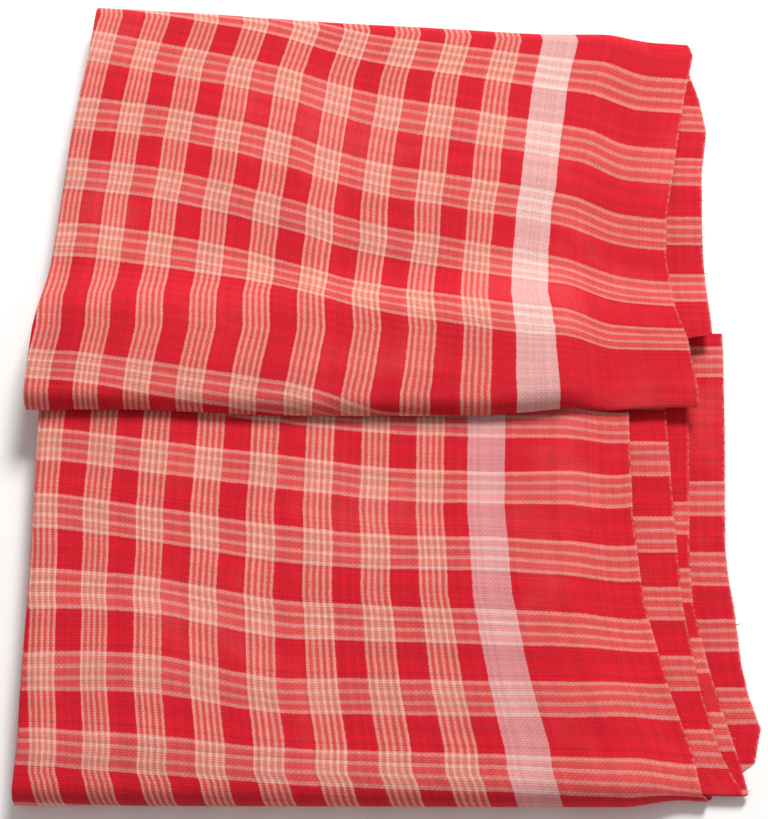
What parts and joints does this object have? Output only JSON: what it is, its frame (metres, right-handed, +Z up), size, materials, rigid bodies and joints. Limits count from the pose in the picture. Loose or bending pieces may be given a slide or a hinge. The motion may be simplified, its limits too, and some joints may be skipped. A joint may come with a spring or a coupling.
{
  "type": "folded gamcha towel",
  "caption": "Thin checked cotton towel in red with pale stripes, folded flat with one flap turned over the top and its plain ends on the right.",
  "frame": {"origin": "under the middle of the folded towel's outline, on the surface it lies on", "axes": "+Z up, +Y along the longer side of the folded towel from the bottom fold to the top crease, +X to the right, towards the cloth's two ends"},
  "size_m": [0.292, 0.3614, 0.0244],
  "materials": {
    "gamcha_towel": "matt woven cotton, red with pale check stripes"
  },
  "bodies": {
    "root": {"gamcha_towel": "gamcha_towel"}
  },
  "joints": []
}
